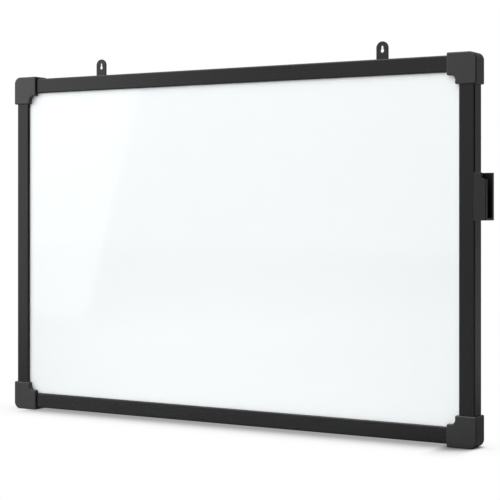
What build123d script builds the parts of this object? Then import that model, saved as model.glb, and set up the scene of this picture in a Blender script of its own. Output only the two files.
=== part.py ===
from build123d import *
import os

# A wall-hung magnetic memo board: a steel-faced panel held in four extruded rails, with
# moulded corner caps, two sliding hanging tabs and a marker clip that slides on the right rail.
# X is to the right, Y points back to the wall and Z is up, all in millimetres.
# The origin lies midway between the two hanging holes, in the plane of the wall.

# Frame, measured over the outer faces of the rails
frame_width = 600.0
frame_height = 400.0

# Rail section
rail_width = 17.7
rail_depth = 17.7
rail_wall = 1.4
rail_edge_radius = 1.7
rail_back_radius = 0.5
groove_depth = 6.6
lip_width = 1.9
slot_width = 4.0

# Panel
sheet_thickness = 0.5
core_thickness = 8.0
backing_thickness = 0.5
lip_depth = 2.7
panel_play = 0.2
panel_edge_gap = 0.3

# Corner caps
cap_arm = 33.0
cap_proud_outside = 2.7
cap_proud_inside = 3.3
cap_proud_front = 2.4
cap_proud_back = 1.4
cap_corner_radius = 8.0
cap_inner_radius = 5.0
cap_end_radius = 1.5
cap_edge_radius = 1.4
cap_back_radius = 0.5
cap_shoulder = 2.0
cap_wall = 2.4
cap_front_wall = 4.0
cap_rib = 1.6
cap_clearance = 0.1
rail_end_gap = 0.2
spigot_length = 26.0
spigot_chamfer = 1.0

# Corner screws, driven from behind through the rail's slot into each spigot
screw_from_shoulder = 8.0
screw_radius = 1.6
screw_length = 10.0
screw_head_radius = 3.2
screw_head_height = 1.9
screw_head_rounding = 0.9
recess_width = 0.9
recess_span = 3.4
recess_depth = 1.1
pilot_clearance = 0.05

# Hanging tabs
tab_offset = 186.5
tab_width = 14.1
tab_thickness = 1.5
tab_rise = 21.0
tab_overlap = 10.4
tab_foot_radius = 2.0
tab_edge_radius = 0.35
hole_below_tab_top = 10.0
hole_radius = 2.15
keyhole_slot_width = 2.7
keyhole_slot_rise = 4.1

# Tab sliders and their countersunk screws
slider_length = 13.6
slider_flange = 1.2
slider_flange_margin = 0.6
slider_head = 2.2
slider_head_play = 0.2
slide_gap = 0.15
flange_gap = 0.2
tab_screw_radius = 1.5
tab_screw_head_radius = 2.8
tab_screw_hole_clearance = 0.1
tab_screw_recess = 0.9

# Marker clip
clip_height = 48.7
clip_above_middle = 54.5
clip_reach = 13.5
clip_front_wall = 4.1
clip_back_wall = 5.1
marker_gap = 13.3
clip_web = 2.4
clip_floor = 2.2
clip_edge_radius = 0.8
clip_top_radius = 0.5
clip_hook = 1.3
clip_hook_height = 32.0
clip_foot_height = 24.0
clip_foot_head = 1.4
notch_width = 5.4
notch_height = 6.6
notch_radius = 2.4

# Rubber bumpers on the two lower corners
bumper_radius = 5.0
bumper_inset = 9.0
bumper_rounding = 0.6
boss_margin = 0.6

# Values that follow from the sizes above
chamber_width = rail_width - groove_depth - 2 * rail_wall
slot_centre = rail_wall + chamber_width / 2
groove_floor = rail_width - groove_depth
panel_thickness = sheet_thickness + core_thickness + backing_thickness
panel_space = panel_thickness + panel_play
chamber_back = rail_depth - rail_wall
cap_back = rail_depth + cap_proud_back
shoulder = rail_width + cap_shoulder
neck_width = slot_width - 2 * slide_gap
wall_gap = flange_gap + slider_flange + tab_thickness
hole_height = tab_rise - hole_below_tab_top
tab_screw_z = -hole_height - slot_centre
cap_front_radius = min(cap_edge_radius, 0.95 * cap_end_radius)
clip_back = rail_depth + slide_gap + clip_hook
clip_front = clip_back - clip_back_wall - marker_gap - clip_front_wall
front_y = -wall_gap - rail_depth
top_z = -hole_height
middle_z = top_z - frame_height / 2

# How far each cutting shape reaches past the face that it cuts
over = 1.0


def block(x_low, x_high, y_low, y_high, z_low, z_high):
    size = (x_high - x_low, y_high - y_low, z_high - z_low)
    middle = ((x_low + x_high) / 2, (y_low + y_high) / 2, (z_low + z_high) / 2)
    return Pos(*middle) * Box(*size)


def area(a_low, a_high, b_low, b_high):
    middle = Pos((a_low + a_high) / 2, (b_low + b_high) / 2)
    return middle * Rectangle(a_high - a_low, b_high - b_low)


def near(shape_list, a, b):
    return shape_list.sort_by_distance(Vector(a, b, 0))[0]


def slab(outline, y_front, y_back):
    return Pos(0, y_back, 0) * extrude(Plane.XZ * outline, amount=y_back - y_front)


def rod(radius, x, z, y_front, y_back):
    return Pos(x, (y_front + y_back) / 2, z) * Rot(90, 0, 0) * Cylinder(radius, y_back - y_front)


# Rail
# The section is drawn with the depth behind the front face first, then the distance
# inward from the outer face as a negative number, so it stands as the top rail does.
def rail_section():
    section = area(0, rail_depth, -rail_width, 0)
    section = fillet(near(section.vertices(), 0, 0), rail_edge_radius)
    section = fillet(near(section.vertices(), 0, -rail_width), rail_edge_radius)
    section = fillet(near(section.vertices(), rail_depth, 0), rail_back_radius)
    chamber = area(rail_wall, chamber_back, -rail_wall - chamber_width, -rail_wall)
    slot_half = slot_width / 2
    slot = area(chamber_back - over, rail_depth + over, -slot_centre - slot_half, -slot_centre + slot_half)
    groove_end = lip_depth + panel_space
    groove = area(lip_depth, groove_end, -rail_width - over, -groove_floor)
    behind_front = area(rail_wall, lip_depth + over, -rail_width + lip_width, -groove_floor)
    behind_ledge = area(groove_end + rail_wall, rail_depth + over, -rail_width - over, -groove_floor)
    return section - chamber - slot - groove - behind_front - behind_ledge


def rail(length):
    return extrude(Plane.YZ * rail_section(), amount=length / 2, both=True)


# Panel
def panel_layer(y_front, y_back):
    inset = groove_floor + panel_edge_gap
    half_width = frame_width / 2 - inset
    half_height = frame_height / 2 - inset
    return block(-half_width, half_width, y_front, y_back, -half_height, half_height)


# Corner cap
# It is drawn for the top left corner, with its origin where the rails' outer faces would meet.
def cap_outline():
    outer = cap_proud_outside
    arm_end = cap_arm - cap_proud_outside
    inner = rail_width + cap_proud_inside
    corner_radii = {
        (-outer, outer): cap_corner_radius,
        (arm_end, outer): cap_end_radius,
        (arm_end, -inner): cap_end_radius,
        (inner, -inner): cap_inner_radius,
        (inner, -arm_end): cap_end_radius,
        (-outer, -arm_end): cap_end_radius,
    }
    outline = make_face(Polyline(*corner_radii, close=True))
    for (x, z), radius in corner_radii.items():
        outline = fillet(near(outline.vertices(), x, z), radius)
    return outline


def spigot():
    solid = block(
        shoulder - over,
        shoulder + spigot_length,
        rail_wall + cap_clearance,
        chamber_back - cap_clearance,
        -rail_wall - chamber_width + cap_clearance,
        -rail_wall - cap_clearance,
    )
    tip = solid.faces().sort_by(Axis.X)[-1]
    solid = chamfer(tip.edges(), spigot_chamfer)
    x = shoulder + screw_from_shoulder
    depth = screw_length + over
    return solid - rod(screw_radius + pilot_clearance, x, -slot_centre, rail_depth - depth, rail_depth)


# The back of the cap is cored out round a boss that carries the bumper.
# The quarter next to the panel stays full.
def cap_core():
    low = cap_wall - cap_proud_outside
    high = shoulder - cap_wall
    panel_side = groove_floor - cap_wall
    rib = cap_rib / 2
    outline = area(low, high, -high, -low)
    outline = fillet(near(outline.vertices(), low, -low), cap_corner_radius - cap_wall)
    outline = outline - area(panel_side, high + over, -high - over, -panel_side)
    outline = outline - Pos(bumper_inset, -bumper_inset) * Circle(bumper_radius + boss_margin)
    outline = outline - area(low - over, bumper_inset, -bumper_inset - rib, -bumper_inset + rib)
    outline = outline - area(bumper_inset - rib, bumper_inset + rib, -bumper_inset, over - low)
    return slab(outline, cap_front_wall - cap_proud_front, cap_back + over)


def across_corner(solid):
    return mirror(Rot(0, 90, 0) * solid, about=Plane.YZ)


def corner_cap():
    far = cap_arm + spigot_length
    cap = slab(cap_outline(), -cap_proud_front, cap_back)
    cap = fillet(cap.faces().sort_by(Axis.Y)[0].edges(), cap_front_radius)
    cap = fillet(cap.faces().sort_by(Axis.Y)[-1].edges(), cap_back_radius)
    socket = block(
        shoulder,
        far,
        -cap_clearance,
        cap_back + over,
        -rail_width - cap_clearance,
        cap_clearance,
    )
    pocket = block(groove_floor, far, lip_depth, lip_depth + panel_space, -far, -groove_floor)
    cap = cap - socket - across_corner(socket) - pocket - cap_core()
    return cap + spigot() + across_corner(spigot())


def corner_bumper():
    solid = rod(bumper_radius, bumper_inset, -bumper_inset, cap_back, rail_depth + wall_gap)
    return fillet(solid.edges().sort_by(Axis.Y)[-1], bumper_rounding)


def cross_recess(bottom, top):
    span = recess_span / 2
    width = recess_width / 2
    across = block(-span, span, bottom, top, -width, width)
    return across + Rot(0, 90, 0) * across


def screw():
    head = rod(screw_head_radius, 0, 0, 0, screw_head_height)
    head = fillet(head.edges().sort_by(Axis.Y)[-1], screw_head_rounding)
    shank = rod(screw_radius, 0, 0, -screw_length, screw_head_height / 2)
    recess = cross_recess(screw_head_height - recess_depth, screw_head_height + over)
    return head + shank - recess


def corner_screw_pair():
    along = shoulder + screw_from_shoulder
    upper = Pos(along, rail_depth, -slot_centre) * screw()
    lower = Pos(slot_centre, rail_depth, -along) * screw()
    return [upper, lower]


# Hanging tab
# Its origin is the hanging hole's centre, in the plane of the wall.
def tab_outline():
    foot = -hole_height - tab_overlap
    round_centre = hole_below_tab_top - tab_width / 2
    outline = area(-tab_width / 2, tab_width / 2, foot, round_centre)
    outline = fillet(outline.vertices().group_by(Axis.Y)[0], tab_foot_radius)
    return outline + Pos(0, round_centre) * Circle(tab_width / 2)


def keyhole():
    half = keyhole_slot_width / 2
    slot = area(-half, half, 0, keyhole_slot_rise) + Pos(0, keyhole_slot_rise) * Circle(half)
    return Circle(hole_radius) + slot


def hanging_tab():
    plate = slab(tab_outline(), -tab_thickness, 0)
    plate = fillet(plate.faces().sort_by(Axis.Y)[0].edges(), tab_edge_radius)
    plate = plate - slab(keyhole(), -tab_thickness - over, over)
    return plate - countersink()


def countersunk_cone(throat, mouth):
    depth = mouth - throat
    return Pos(0, -depth / 2, tab_screw_z) * Rot(-90, 0, 0) * Cone(throat, mouth, depth)


def countersink():
    mouth = tab_screw_head_radius + tab_screw_hole_clearance
    throat = tab_screw_radius + tab_screw_hole_clearance
    through = rod(throat, 0, tab_screw_z, -tab_thickness - over, throat - mouth)
    return countersunk_cone(throat, mouth) + through


def tab_slider():
    z = tab_screw_z
    half = slider_length / 2
    back = -tab_thickness
    flange_front = back - slider_flange
    rail_back = -wall_gap
    wall_front = rail_back - rail_wall
    head_back = wall_front - slide_gap
    flange_half = slot_centre - slider_flange_margin
    head_half = chamber_width / 2 - slider_head_play
    flange = block(-half, half, flange_front, back, z - flange_half, z + flange_half)
    neck = block(-half, half, head_back, flange_front, z - neck_width / 2, z + neck_width / 2)
    head = block(-half, half, head_back - slider_head, head_back, z - head_half, z + head_half)
    pilot = rod(tab_screw_radius + pilot_clearance, 0, z, head_back - slider_head - over, back + over)
    return flange + neck + head - pilot


def tab_screw():
    head = countersunk_cone(tab_screw_radius, tab_screw_head_radius)
    tip = -wall_gap - rail_wall - slide_gap - slider_head
    shank = rod(tab_screw_radius, 0, tab_screw_z, tip, tab_screw_radius - tab_screw_head_radius)
    recess = Pos(0, 0, tab_screw_z) * cross_recess(-tab_screw_recess, over)
    return Pos(0, -tab_screw_hole_clearance, 0) * (head + shank - recess)


# Marker clip
# Its origin is on the right rail's outer face, at the front face and at the clip's middle height.
def clip_section():
    pocket_front = clip_front + clip_front_wall
    section = area(slide_gap, clip_reach, clip_front, clip_back)
    pocket = area(slide_gap + clip_web, clip_reach + over, pocket_front, pocket_front + marker_gap)
    section = section - pocket
    for x, y in [(slide_gap, clip_front), (clip_reach, clip_front), (clip_reach, clip_back)]:
        section = fillet(near(section.vertices(), x, y), clip_edge_radius)
    return section


def clip_notch():
    top = clip_height / 2
    notch = block(
        clip_reach - notch_width,
        clip_reach + over,
        clip_front - over,
        clip_front + clip_front_wall,
        top - notch_height,
        top + over,
    )
    inner_edges = notch.edges().filter_by(Axis.Y).group_by(Axis.X)[0]
    return fillet(inner_edges.sort_by(Axis.Z)[0], notch_radius)


def marker_clip():
    half = clip_height / 2
    body = Pos(0, 0, -half) * extrude(clip_section(), amount=clip_height)
    body = body + block(
        slide_gap + clip_web / 2,
        clip_reach,
        clip_front + clip_front_wall / 2,
        clip_back - clip_back_wall / 2,
        -half,
        -half + clip_floor,
    )
    body = body - clip_notch()
    top_edges = body.faces().sort_by(Axis.Z)[-1].edges().filter_by(Axis.X)
    body = fillet(top_edges.sort_by(Axis.Y)[0], clip_top_radius)
    return body + clip_hook_solid()


def clip_hook_solid():
    foot_half = clip_foot_height / 2
    hook_half = clip_hook_height / 2
    hook_front = rail_depth + slide_gap
    neck_far = -slot_centre - neck_width / 2
    neck_near = -slot_centre + neck_width / 2
    head_back = chamber_back - slide_gap
    head_half = chamber_width / 2 - slider_head_play
    arm = block(neck_far, slide_gap + clip_web / 2, hook_front, clip_back, -hook_half, hook_half)
    neck = block(neck_far, neck_near, head_back, hook_front, -foot_half, foot_half)
    head = block(
        -slot_centre - head_half,
        -slot_centre + head_half,
        head_back - clip_foot_head,
        head_back,
        -foot_half,
        foot_half,
    )
    return arm + neck + head


# Placing
half_width = frame_width / 2
half_height = frame_height / 2
rail_cut = shoulder + rail_end_gap
sides = {
    "top": (0, (0, half_height), frame_width - 2 * rail_cut),
    "right": (90, (half_width, 0), frame_height - 2 * rail_cut),
    "bottom": (180, (0, -half_height), frame_width - 2 * rail_cut),
    "left": (270, (-half_width, 0), frame_height - 2 * rail_cut),
}
corners = {
    "top_left": (0, (-half_width, half_height)),
    "top_right": (90, (half_width, half_height)),
    "bottom_right": (180, (half_width, -half_height)),
    "bottom_left": (270, (-half_width, -half_height)),
}


def place(turn, spot):
    return Pos(spot[0], front_y, middle_z + spot[1]) * Rot(0, turn, 0)


parts = {}
layer_front = front_y + lip_depth
for name, thickness in [
    ("writing_surface", sheet_thickness),
    ("core_board", core_thickness),
    ("backing_sheet", backing_thickness),
]:
    parts[name] = Pos(0, 0, middle_z) * panel_layer(layer_front, layer_front + thickness)
    layer_front = layer_front + thickness

for side, (turn, spot, length) in sides.items():
    parts["rail_" + side] = place(turn, spot) * rail(length)

screws = []
for corner, (turn, spot) in corners.items():
    parts["corner_cap_" + corner] = place(turn, spot) * corner_cap()
    screws += [place(turn, spot) * one for one in corner_screw_pair()]
parts["corner_screws"] = Compound(children=screws)

parts["wall_bumper_left"] = place(*corners["bottom_left"]) * corner_bumper()
parts["wall_bumper_right"] = place(*corners["bottom_right"]) * corner_bumper()

for side, x in [("left", -tab_offset), ("right", tab_offset)]:
    parts["hanging_tab_" + side] = Pos(x, 0, 0) * hanging_tab()
    parts["tab_slider_" + side] = Pos(x, 0, 0) * tab_slider()
    parts["tab_screw_" + side] = Pos(x, 0, 0) * tab_screw()

parts["pen_clip"] = Pos(half_width, front_y, middle_z + clip_above_middle) * marker_clip()

os.makedirs("parts", exist_ok=True)
for name, solid in parts.items():
    solid.label = name
    export_step(solid, "parts/" + name + ".step")
    print(name, round(solid.volume, 1))
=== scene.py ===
import math
import bpy
from mathutils import Matrix, Vector


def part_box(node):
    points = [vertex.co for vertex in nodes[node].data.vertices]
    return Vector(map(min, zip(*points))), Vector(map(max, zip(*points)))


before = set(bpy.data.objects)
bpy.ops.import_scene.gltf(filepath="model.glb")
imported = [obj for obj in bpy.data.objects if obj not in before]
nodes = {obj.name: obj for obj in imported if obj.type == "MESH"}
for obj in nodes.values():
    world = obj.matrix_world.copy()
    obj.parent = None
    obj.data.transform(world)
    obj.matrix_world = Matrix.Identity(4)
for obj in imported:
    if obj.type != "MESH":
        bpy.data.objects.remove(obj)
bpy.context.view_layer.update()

scene = bpy.context.scene
print("memo board: packed model loaded,", len(nodes), "nodes")


# Small helpers for node trees
def addNode(tree, kind, **settings):
    made = tree.nodes.new(kind)
    for name, value in settings.items():
        if name in made.inputs:
            made.inputs[name].default_value = value
        else:
            setattr(made, name, value)
    return made


def join(tree, source, target):
    tree.links.new(source, target)


def feed(tree, value, socket):
    # value is another node's output or a plain value
    if hasattr(value, "links"):
        join(tree, value, socket)
    else:
        socket.default_value = value


def newFinish(name, **settings):
    finish = bpy.data.materials.new(name)
    finish.use_nodes = True
    tree = finish.node_tree
    shader = tree.nodes["Principled BSDF"]
    for socket, value in settings.items():
        shader.inputs[socket.replace("_", " ")].default_value = value
    return finish, tree, shader


def noiseField(tree, cells, detail=3.0, roughness=0.55):
    # cells is how many noise cells there are per metre, one number or one each for X, Y and Z
    place = addNode(tree, "ShaderNodeTexCoord")
    scaled = addNode(tree, "ShaderNodeMapping")
    scaled.inputs["Scale"].default_value = cells if isinstance(cells, tuple) else (cells,) * 3
    field = addNode(tree, "ShaderNodeTexNoise", Scale=1.0, Detail=detail, Roughness=roughness)
    join(tree, place.outputs["Object"], scaled.inputs["Vector"])
    join(tree, scaled.outputs["Vector"], field.inputs["Vector"])
    return field.outputs["Fac"]


def maths(tree, operation, first, second=0.0):
    step = addNode(tree, "ShaderNodeMath", operation=operation)
    feed(tree, first, step.inputs[0])
    feed(tree, second, step.inputs[1])
    return step.outputs[0]


def remap(tree, value, low, high, fromLow=0.3, fromHigh=0.7):
    # a noise field lies mostly between 0.3 and 0.7
    ranged = addNode(tree, "ShaderNodeMapRange")
    ranged.inputs["From Min"].default_value = fromLow
    ranged.inputs["From Max"].default_value = fromHigh
    ranged.inputs["To Min"].default_value = low
    ranged.inputs["To Max"].default_value = high
    join(tree, value, ranged.inputs["Value"])
    return ranged.outputs["Result"]


def blendColour(tree, factor, first, second):
    mixed = addNode(tree, "ShaderNodeMix", data_type="RGBA")
    feed(tree, factor, mixed.inputs["Factor"])
    for colour, socket in ((first, mixed.inputs["A"]), (second, mixed.inputs["B"])):
        feed(tree, (*colour, 1.0) if isinstance(colour, tuple) else colour, socket)
    return mixed.outputs["Result"]


def greyRamp(tree, value, stops):
    # stops are pairs of a value and the grey level that it gets
    start, end = stops[0][0], stops[-1][0]
    ramp = addNode(tree, "ShaderNodeValToRGB")
    marks = ramp.color_ramp.elements
    marks.remove(marks[1])
    for index, (at, level) in enumerate(stops):
        mark = marks.new((at - start) / (end - start)) if index else marks[0]
        mark.color = (level, level, level, 1.0)
    join(tree, remap(tree, value, 0.0, 1.0, start, end), ramp.inputs["Fac"])
    return ramp.outputs["Color"]


def bumps(tree, height, distance, normal=None, strength=1.0):
    bump = addNode(tree, "ShaderNodeBump", Strength=strength, Distance=distance)
    join(tree, height, bump.inputs["Height"])
    if normal is not None:
        join(tree, normal, bump.inputs["Normal"])
    return bump.outputs["Normal"]


def softEdge(tree, radius):
    # rounds the last sharp edges in the shading and gives a mask of where they are
    atEdge, onFlat = 0.86, 0.995
    rounded = addNode(tree, "ShaderNodeBevel", samples=4, Radius=radius)
    flat = addNode(tree, "ShaderNodeNewGeometry")
    likeness = addNode(tree, "ShaderNodeVectorMath", operation="DOT_PRODUCT")
    join(tree, rounded.outputs["Normal"], likeness.inputs[0])
    join(tree, flat.outputs["Normal"], likeness.inputs[1])
    mask = remap(tree, likeness.outputs["Value"], 1.0, 0.0, atEdge, onFlat)
    return rounded.outputs["Normal"], mask


def wornColour(tree, edgeMask, patches, body, worn):
    # the edges are rubbed, more in some patches than in others
    return blendColour(tree, maths(tree, "MULTIPLY", edgeMask, patches), body, worn)


def varyRoughness(tree, shader, field, ends, fromLow=0.3, fromHigh=0.7):
    socket = shader.inputs["Roughness"]
    socket.default_value = sum(ends) / 2
    join(tree, remap(tree, field, *ends, fromLow, fromHigh), socket)


def mirrorRay(tree):
    # 1 for the rays of metal, gloss and glass, which should meet the white studio too
    ray = addNode(tree, "ShaderNodeLightPath")
    return maths(tree, "MAXIMUM", ray.outputs["Is Glossy Ray"], ray.outputs["Is Transmission Ray"])


def eyeRay(tree):
    return addNode(tree, "ShaderNodeLightPath").outputs["Is Camera Ray"]


# Camera, at the photograph's place: level, to the right of the board, with a long lens
cameraSet = {
    "place": (0.8733, -1.4190, -0.1678),
    "turn": 30.993,         # degrees to the left of straight at the board
    "lens": 105.70,
    "sensor": 36.0,
    "drop": -0.0847,        # the level line lies above the middle of the picture
}
cameraData = bpy.data.cameras.new("photoCamera")
cameraData.lens = cameraSet["lens"]
cameraData.sensor_width = cameraSet["sensor"]
cameraData.shift_y = cameraSet["drop"]
camera = bpy.data.objects.new("photoCamera", cameraData)
camera.location = cameraSet["place"]
camera.rotation_euler = (math.radians(90), 0, math.radians(cameraSet["turn"]))
scene.collection.objects.link(camera)
scene.camera = camera
print("camera set")


# Writing surface: gloss white lacquer on steel, with the faint waviness of a roller coat
panelLook = {
    "white": (0.918, 0.951, 0.961),
    "wipedHaze": (0.914, 0.947, 0.957),
    "hazeCells": (5, 5, 9),
    "hazeEnds": (0.4, 0.75),
    "smearCells": (14, 14, 60),
    "gloss": 1.45,
    "roughness": (0.30, 0.36),
    "coatGloss": 1.5,
    "coatRoughness": 0.035,
    "waveCells": 70,
    "waveHeight": 0.000006,
    "grainCells": 1400,
    "grainHeight": 0.0000012,
}


def writingSurfaceFinish():
    look = panelLook
    finish, tree, shader = newFinish(
        "whiteEnamel", IOR=look["gloss"],
        Coat_Weight=1.0, Coat_IOR=look["coatGloss"], Coat_Roughness=look["coatRoughness"],
    )
    haze = remap(tree, noiseField(tree, look["hazeCells"], detail=5.0), 0.0, 1.0, *look["hazeEnds"])
    join(tree, blendColour(tree, haze, look["white"], look["wipedHaze"]), shader.inputs["Base Color"])
    smear = noiseField(tree, look["smearCells"], detail=6.0)
    varyRoughness(tree, shader, smear, look["roughness"])
    wave = noiseField(tree, look["waveCells"], detail=1.0)
    grain = noiseField(tree, look["grainCells"], detail=2.0)
    waved = bumps(tree, wave, look["waveHeight"])
    join(tree, bumps(tree, grain, look["grainHeight"], waved), shader.inputs["Normal"])
    join(tree, waved, shader.inputs["Coat Normal"])
    return finish


# Rails: satin black coat over an extrusion, so the grain runs along each rail
railLook = {
    "black": (0.0050, 0.0050, 0.0052),
    "worn": (0.0100, 0.0100, 0.0103),
    "wear": 0.7,
    "gloss": {"x": 1.42, "z": 1.395},   # painted sheen: the level rails' copy gets a touch more gloss so they show brighter
    "roughness": (0.235, 0.265),
    "lineCells": {"x": (3, 900, 900), "z": (900, 900, 3)},
    "lineHeight": 0.0000035,
    "grainCells": 2400,
    "grainHeight": 0.000008,
    "cloudCells": 9,
    "clouding": 0.03,                   # how much rougher the cloudy patches are
    "edge": 0.00015,
}


def railFinish(name, along):
    look = railLook
    finish, tree, shader = newFinish(name, Roughness=look["roughness"][1], IOR=look["gloss"][along])
    lines = noiseField(tree, look["lineCells"][along], detail=2.0)
    grain = noiseField(tree, look["grainCells"], detail=2.0)
    cloud = noiseField(tree, look["cloudCells"], detail=4.0)
    edgeNormal, edgeMask = softEdge(tree, look["edge"])
    patches = remap(tree, cloud, 0.0, look["wear"])
    colour = wornColour(tree, edgeMask, patches, look["black"], look["worn"])
    join(tree, colour, shader.inputs["Base Color"])
    drawn = remap(tree, lines, *look["roughness"])
    clouded = remap(tree, cloud, 0.0, look["clouding"])
    join(tree, maths(tree, "ADD", drawn, clouded), shader.inputs["Roughness"])
    lined = bumps(tree, lines, look["lineHeight"], edgeNormal)
    join(tree, bumps(tree, grain, look["grainHeight"], lined), shader.inputs["Normal"])
    return finish


# Mouldings: spark-eroded black plastic. The caps are greyer and coarser than the clip.
mouldingSet = {
    "flowCells": 26,
    "wear": (0.1, 0.6),
    "sparkStrength": 0.8,
}
capLook = {
    "black": (0.0110, 0.0110, 0.0113),
    "mottled": (0.0135, 0.0135, 0.0138),
    "worn": (0.0180, 0.0180, 0.0184),
    "gloss": 1.535,
    "roughness": (0.33, 0.44),
    "sparkCells": 1900,
    "sparkHeight": 0.000022,
    "edge": 0.0002,
}
clipLook = {
    "black": (0.0045, 0.0045, 0.0047),
    "mottled": (0.0055, 0.0055, 0.0057),
    "worn": (0.0120, 0.0120, 0.0123),
    "gloss": 1.46,
    "roughness": (0.31, 0.42),
    "sparkCells": 2300,
    "sparkHeight": 0.000014,
    "edge": 0.0007,
}


def mouldingFinish(name, look):
    finish, tree, shader = newFinish(name, IOR=look["gloss"])
    spark = noiseField(tree, look["sparkCells"], detail=4.0, roughness=0.7)
    flow = noiseField(tree, mouldingSet["flowCells"], detail=4.0)
    edgeNormal, edgeMask = softEdge(tree, look["edge"])
    body = blendColour(tree, remap(tree, flow, 0.0, 1.0), look["black"], look["mottled"])
    patches = remap(tree, flow, *mouldingSet["wear"])
    join(tree, wornColour(tree, edgeMask, patches, body, look["worn"]), shader.inputs["Base Color"])
    varyRoughness(tree, shader, spark, look["roughness"])
    pitted = bumps(tree, spark, look["sparkHeight"], edgeNormal, mouldingSet["sparkStrength"])
    join(tree, pitted, shader.inputs["Normal"])
    return finish


# Hanging tabs: stamped steel with a black e-coat, brighter where the punch cut it
tabLook = {
    "black": (0.0090, 0.0090, 0.0093),
    "rubbed": (0.030, 0.030, 0.031),
    "wear": 0.8,
    "gloss": 1.45,
    "roughness": (0.30, 0.44),
    "scuffCells": (60, 60, 190),
    "coatCells": 1300,
    "coatHeight": 0.000012,
    "edge": 0.00025,
}


def tabFinish():
    look = tabLook
    finish, tree, shader = newFinish("tabCoat", IOR=look["gloss"])
    coat = noiseField(tree, look["coatCells"], detail=2.0)
    scuffs = noiseField(tree, look["scuffCells"], detail=6.0)
    edgeNormal, edgeMask = softEdge(tree, look["edge"])
    patches = remap(tree, scuffs, 0.0, look["wear"])
    colour = wornColour(tree, edgeMask, patches, look["black"], look["rubbed"])
    join(tree, colour, shader.inputs["Base Color"])
    varyRoughness(tree, shader, scuffs, look["roughness"])
    join(tree, bumps(tree, coat, look["coatHeight"], edgeNormal), shader.inputs["Normal"])
    return finish


# Backing: zinc-coated sheet with its crystal spangle
backingLook = {
    "zinc": (0.50, 0.515, 0.53),
    "zincDark": (0.40, 0.415, 0.43),
    "metal": 0.85,
    "roughness": (0.36, 0.52),
    "spangleCells": 75,
    "warpCells": 40,
    "warp": 0.02,               # how far the crystals' edges wander, in metres
    "rollCells": (6, 500, 500),
    "rollHeight": 0.000006,
}


def backingFinish():
    look = backingLook
    finish, tree, shader = newFinish("zincSheet", Metallic=look["metal"])
    place = addNode(tree, "ShaderNodeTexCoord")
    spangle = addNode(tree, "ShaderNodeTexVoronoi", Scale=look["spangleCells"], Randomness=1.0)
    warped = addNode(tree, "ShaderNodeVectorMath", operation="MULTIPLY_ADD")
    warped.inputs[1].default_value = (look["warp"],) * 3
    join(tree, noiseField(tree, look["warpCells"], detail=3.0), warped.inputs[0])
    join(tree, place.outputs["Object"], warped.inputs[2])
    join(tree, warped.outputs["Vector"], spangle.inputs["Vector"])
    grey = addNode(tree, "ShaderNodeSeparateColor")
    join(tree, spangle.outputs["Color"], grey.inputs["Color"])
    crystal = grey.outputs["Red"]
    join(tree, blendColour(tree, crystal, look["zinc"], look["zincDark"]), shader.inputs["Base Color"])
    varyRoughness(tree, shader, crystal, look["roughness"], 0.0, 1.0)
    rolled = noiseField(tree, look["rollCells"], detail=2.0)
    join(tree, bumps(tree, rolled, look["rollHeight"]), shader.inputs["Normal"])
    return finish


# Core: pressed fibre, seen only when the board is taken apart
coreLook = {
    "fibre": (0.42, 0.30, 0.17),
    "darkFibre": (0.27, 0.18, 0.10),
    "roughness": 0.85,
    "strandCells": (350, 350, 90),
    "strandHeight": 0.0002,
}


def coreFinish():
    look = coreLook
    finish, tree, shader = newFinish("pressedFibre", Roughness=look["roughness"])
    strands = noiseField(tree, look["strandCells"], detail=8.0, roughness=0.7)
    colour = blendColour(tree, remap(tree, strands, 0.0, 1.0), look["fibre"], look["darkFibre"])
    join(tree, colour, shader.inputs["Base Color"])
    join(tree, bumps(tree, strands, look["strandHeight"]), shader.inputs["Normal"])
    return finish


# Screws: zinc plate, dulled in fine patches
screwLook = {
    "zinc": (0.62, 0.63, 0.64),
    "dull": (0.45, 0.46, 0.47),
    "roughness": (0.22, 0.42),
    "tarnishCells": 900,
    "tarnishHeight": 0.00001,
    "edge": 0.00015,
}


def screwFinish():
    look = screwLook
    finish, tree, shader = newFinish("platedScrew", Metallic=1.0)
    tarnish = noiseField(tree, look["tarnishCells"], detail=5.0)
    colour = blendColour(tree, remap(tree, tarnish, 0.0, 1.0), look["zinc"], look["dull"])
    join(tree, colour, shader.inputs["Base Color"])
    varyRoughness(tree, shader, tarnish, look["roughness"])
    edgeNormal, _ = softEdge(tree, look["edge"])
    join(tree, bumps(tree, tarnish, look["tarnishHeight"], edgeNormal), shader.inputs["Normal"])
    return finish


# Bumpers: dull rubber with a dusty bloom
bumperLook = {
    "rubber": (0.020, 0.020, 0.021),
    "bloom": (0.045, 0.045, 0.044),
    "gloss": 1.45,
    "roughness": 0.8,
    "bloomCells": 700,
    "bloomHeight": 0.00003,
}


def bumperFinish():
    look = bumperLook
    finish, tree, shader = newFinish("bumperRubber", Roughness=look["roughness"], IOR=look["gloss"])
    bloom = noiseField(tree, look["bloomCells"], detail=6.0)
    colour = blendColour(tree, remap(tree, bloom, 0.0, 1.0), look["rubber"], look["bloom"])
    join(tree, colour, shader.inputs["Base Color"])
    join(tree, bumps(tree, bloom, look["bloomHeight"]), shader.inputs["Normal"])
    return finish


def paint(name, finish):
    slots = nodes[name].material_slots
    if slots:
        for slot in slots:
            slot.material = finish
    else:
        nodes[name].data.materials.append(finish)


capFinish = mouldingFinish("capMoulding", capLook)
clipFinish = mouldingFinish("clipMoulding", clipLook)
alongRail = railFinish("railCoatAlong", "x")
upRail = railFinish("railCoatUp", "z")
screwZinc = screwFinish()
rubber = bumperFinish()
tabCoat = tabFinish()

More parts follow.
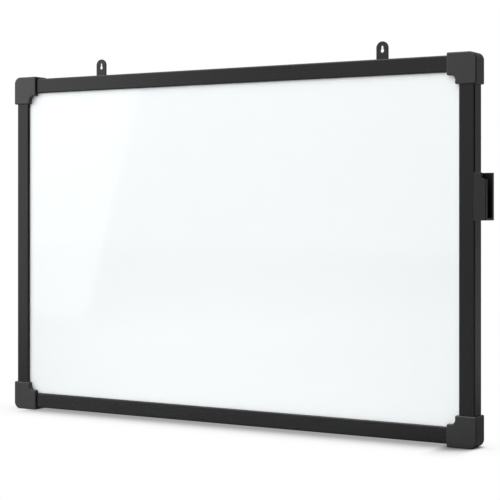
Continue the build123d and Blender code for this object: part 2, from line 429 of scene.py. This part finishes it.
paint("writing_surface", writingSurfaceFinish())
paint("core_board", coreFinish())
paint("backing_sheet", backingFinish())
for side in ("top", "bottom"):
    paint("rail_" + side, alongRail)
for side in ("left", "right"):
    paint("rail_" + side, upRail)
    paint("wall_bumper_" + side, rubber)
    paint("hanging_tab_" + side, tabCoat)
    paint("tab_slider_" + side, clipFinish)
    paint("tab_screw_" + side, screwZinc)
    for height in ("top", "bottom"):
        paint("corner_cap_" + height + "_" + side, capFinish)
paint("corner_screws", screwZinc)
paint("pen_clip", clipFinish)
print("finishes on all", len(nodes), "nodes")


# Floor: a run of white paper along the line of sight, on a grey studio floor. To the eye it is
# plain white where the board doesn't shade it. Places and widths are in metres.
floorSet = {
    "half": 6.0,
    "across": (0.858, 0.514, 0.0),      # level, at right angles to the line of sight
    "paper": 0.74,
    "studio": 0.42,
    "paperEdge": (0.24, 0.30),          # how far from the line of sight the paper fades out
    "inGloss": (                        # the floor's grey in gloss, from the left to the right
        (-1.8, 0.56), (-1.0, 0.80), (-0.8, 0.60), (-0.5, 0.56), (-0.3, 0.63), (-0.05, 0.57),
        (0.10, 0.52), (0.20, 0.30), (0.45, 0.25), (0.9, 0.50), (1.5, 0.52),
    ),
    "whiteInGloss": 0.12,
}

# The board's shade on the floor: each ramp goes from a spot that the board covers to an open one
shadeSet = {
    "reach": 0.07,
    "rightCap": (0.262, 0.274),         # where the rails' shade goes over into the cap's, along X
    "middle": 0.0115,                   # midway between the two sides' starts
    "beside": (0.2865, 0.2945),         # where the shade beside the board begins, from there
    "behind": (-0.004, 0.004),          # and where that behind it begins, along Y
    "railRamp": (
        (0.0, 0.36), (0.50, 0.40), (0.57, 0.45), (0.63, 0.60),
        (0.70, 0.76), (0.78, 0.88), (0.88, 0.97), (1.0, 1.0),
    ),
    "capRamp": (
        (0.0, 0.0), (0.50, 0.06), (0.59, 0.20), (0.72, 0.42),
        (0.79, 0.70), (0.86, 0.82), (0.93, 0.91), (1.0, 1.0),
    ),
    "openRamp": (
        (0.0, 0.20), (0.05, 0.40), (0.16, 0.55), (0.35, 0.70), (0.50, 0.77),
        (0.60, 0.82), (0.70, 0.88), (0.80, 0.945), (0.90, 0.98), (1.0, 1.0),
    ),
}
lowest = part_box("corner_cap_bottom_left")[0].z


def boardShade(tree, place):
    look = shadeSet
    nearby = addNode(tree, "ShaderNodeAmbientOcclusion", samples=16, Distance=look["reach"])
    openness = nearby.outputs["AO"]
    parts = addNode(tree, "ShaderNodeSeparateXYZ")
    join(tree, place, parts.inputs[0])
    atRails = greyRamp(tree, openness, look["railRamp"])
    atCap = greyRamp(tree, openness, look["capRamp"])
    below = blendColour(
        tree, remap(tree, parts.outputs["X"], 0.0, 1.0, *look["rightCap"]), atRails, atCap
    )
    fromMiddle = maths(tree, "ABSOLUTE", maths(tree, "SUBTRACT", parts.outputs["X"], look["middle"]))
    beside = remap(tree, fromMiddle, 0.0, 1.0, *look["beside"])
    behind = remap(tree, parts.outputs["Y"], 0.0, 1.0, *look["behind"])
    around = maths(tree, "MAXIMUM", beside, behind)
    return blendColour(tree, around, below, greyRamp(tree, openness, look["openRamp"]))


def floorFinish():
    look = floorSet
    finish = bpy.data.materials.new("paleFloor")
    finish.use_nodes = True
    tree = finish.node_tree
    tree.nodes.clear()
    place = addNode(tree, "ShaderNodeTexCoord").outputs["Object"]
    sideways = addNode(tree, "ShaderNodeVectorMath", operation="DOT_PRODUCT")
    sideways.inputs[1].default_value = look["across"]
    join(tree, place, sideways.inputs[0])
    aside = sideways.outputs["Value"]
    paper = remap(tree, maths(tree, "ABSOLUTE", aside), 1.0, 0.0, *look["paperEdge"])
    bounced = blendColour(tree, paper, (look["studio"],) * 3, (look["paper"],) * 3)
    glossed = greyRamp(tree, aside, look["inGloss"])
    matt = addNode(tree, "ShaderNodeBsdfDiffuse")
    join(tree, blendColour(tree, mirrorRay(tree), bounced, glossed), matt.inputs["Color"])
    shown = addNode(tree, "ShaderNodeEmission")
    join(tree, boardShade(tree, place), shown.inputs["Color"])
    # the eye meets the shown white alone, and gloss meets a little of it on the paper
    onPaper = remap(tree, paper, 0.0, look["whiteInGloss"], 0.0, 1.0)
    inMirrors = maths(tree, "MULTIPLY", mirrorRay(tree), onPaper)
    either = addNode(tree, "ShaderNodeMixShader")
    join(tree, maths(tree, "MAXIMUM", eyeRay(tree), inMirrors), either.inputs[0])
    join(tree, matt.outputs[0], either.inputs[1])
    join(tree, shown.outputs[0], either.inputs[2])
    out = addNode(tree, "ShaderNodeOutputMaterial")
    join(tree, either.outputs[0], out.inputs["Surface"])
    return finish


def makeFloor():
    half = floorSet["half"]
    mesh = bpy.data.meshes.new("studioFloor")
    corners = [(-half, -half, 0), (half, -half, 0), (half, half, 0), (-half, half, 0)]
    mesh.from_pydata(corners, [], [(0, 1, 2, 3)])
    mesh.materials.append(floorFinish())
    floor = bpy.data.objects.new("studioFloor", mesh)
    floor.location.z = lowest
    scene.collection.objects.link(floor)


makeFloor()
print("floor set")


# Studio light: the key box stands at the front left, leaned over, so that its edge crosses the
# gloss of the panel. The top box hangs in front and lights the panel and the top edges. Places
# and sizes are in metres, leans in degrees.
lamps = {
    "keyBox": {
        "at": (-1.447, -1.056, 0.233),
        "aim": (-0.471, 0.228, 0.201),
        "size": (1.0, 1.4),
        "lean": -13.0,
        "radiance": 1.12,
    },
    "topBox": {
        "at": (-0.20, -1.10, 1.50),
        "aim": (0.0, 0.0, -0.25),
        "size": (2.4, 1.6),
        "lean": 0.0,
        "radiance": 2.5,
    },
}


def makeLamp(name, at, aim, size, lean, radiance):
    data = bpy.data.lights.new(name, "AREA")
    data.shape = "RECTANGLE"
    data.size, data.size_y = size
    # an area lamp of power P sends out P / (pi * area) from each point and direction
    data.energy = radiance * math.pi * size[0] * size[1]
    lamp = bpy.data.objects.new(name, data)
    facing = (Vector(at) - Vector(aim)).to_track_quat("Z", "Y")
    leaned = Matrix.Rotation(math.radians(lean), 4, "Z")
    lamp.rotation_euler = (facing.to_matrix().to_4x4() @ leaned).to_euler()
    lamp.location = at
    lamp.visible_camera = False
    scene.collection.objects.link(lamp)


for name, settings in lamps.items():
    makeLamp(name, **settings)
print("lamps set:", len(lamps))


# Room: a white backdrop behind the board, a pale wall and a bright strip at the left, dark behind
# the camera and dim at the right. Each level belongs to a bearing in degrees: 0 is the front, -90
# the left. "fill" is the light on matt surfaces, and "mirrored" is what gloss shows.
roomSet = {
    "fill": (
        (-180, 0.45), (-120, 0.9), (-95, 0.78), (-70, 0.78), (-64, 5.9), (-58, 5.9), (-52, 0.98),
        (-38, 0.44), (0, 0.264), (50, 0.115), (180, 0.45),
    ),
    "mirrored": (
        (-180, 0.30), (-171, 0.30), (-163, 1.0), (-135, 1.0), (-125, 1.30), (-60, 1.20), (-45, 0.70),
        (-33, 0.70), (-20, 1.00), (-5, 0.90), (10, 0.02), (60, 0.02), (90, 0.18), (150, 0.30), (180, 0.30),
    ),
}


def makeRoom():
    world = bpy.data.worlds.new("studioRoom")
    world.use_nodes = True
    tree = world.node_tree
    tree.nodes.clear()
    place = addNode(tree, "ShaderNodeTexCoord")
    parts = addNode(tree, "ShaderNodeSeparateXYZ")
    join(tree, place.outputs["Generated"], parts.inputs[0])
    forward = maths(tree, "MULTIPLY", parts.outputs["Y"], -1.0)
    bearing = maths(tree, "DEGREES", maths(tree, "ARCTAN2", parts.outputs["X"], forward))
    fill = greyRamp(tree, bearing, roomSet["fill"])
    mirrored = greyRamp(tree, bearing, roomSet["mirrored"])
    lit = blendColour(tree, mirrorRay(tree), fill, mirrored)
    sky = addNode(tree, "ShaderNodeBackground", Strength=1.0)
    join(tree, blendColour(tree, eyeRay(tree), lit, (1.0, 1.0, 1.0)), sky.inputs["Color"])
    out = addNode(tree, "ShaderNodeOutputWorld")
    join(tree, sky.outputs[0], out.inputs["Surface"])
    scene.world = world


makeRoom()
scene.view_settings.view_transform = "Standard"
print("room set")
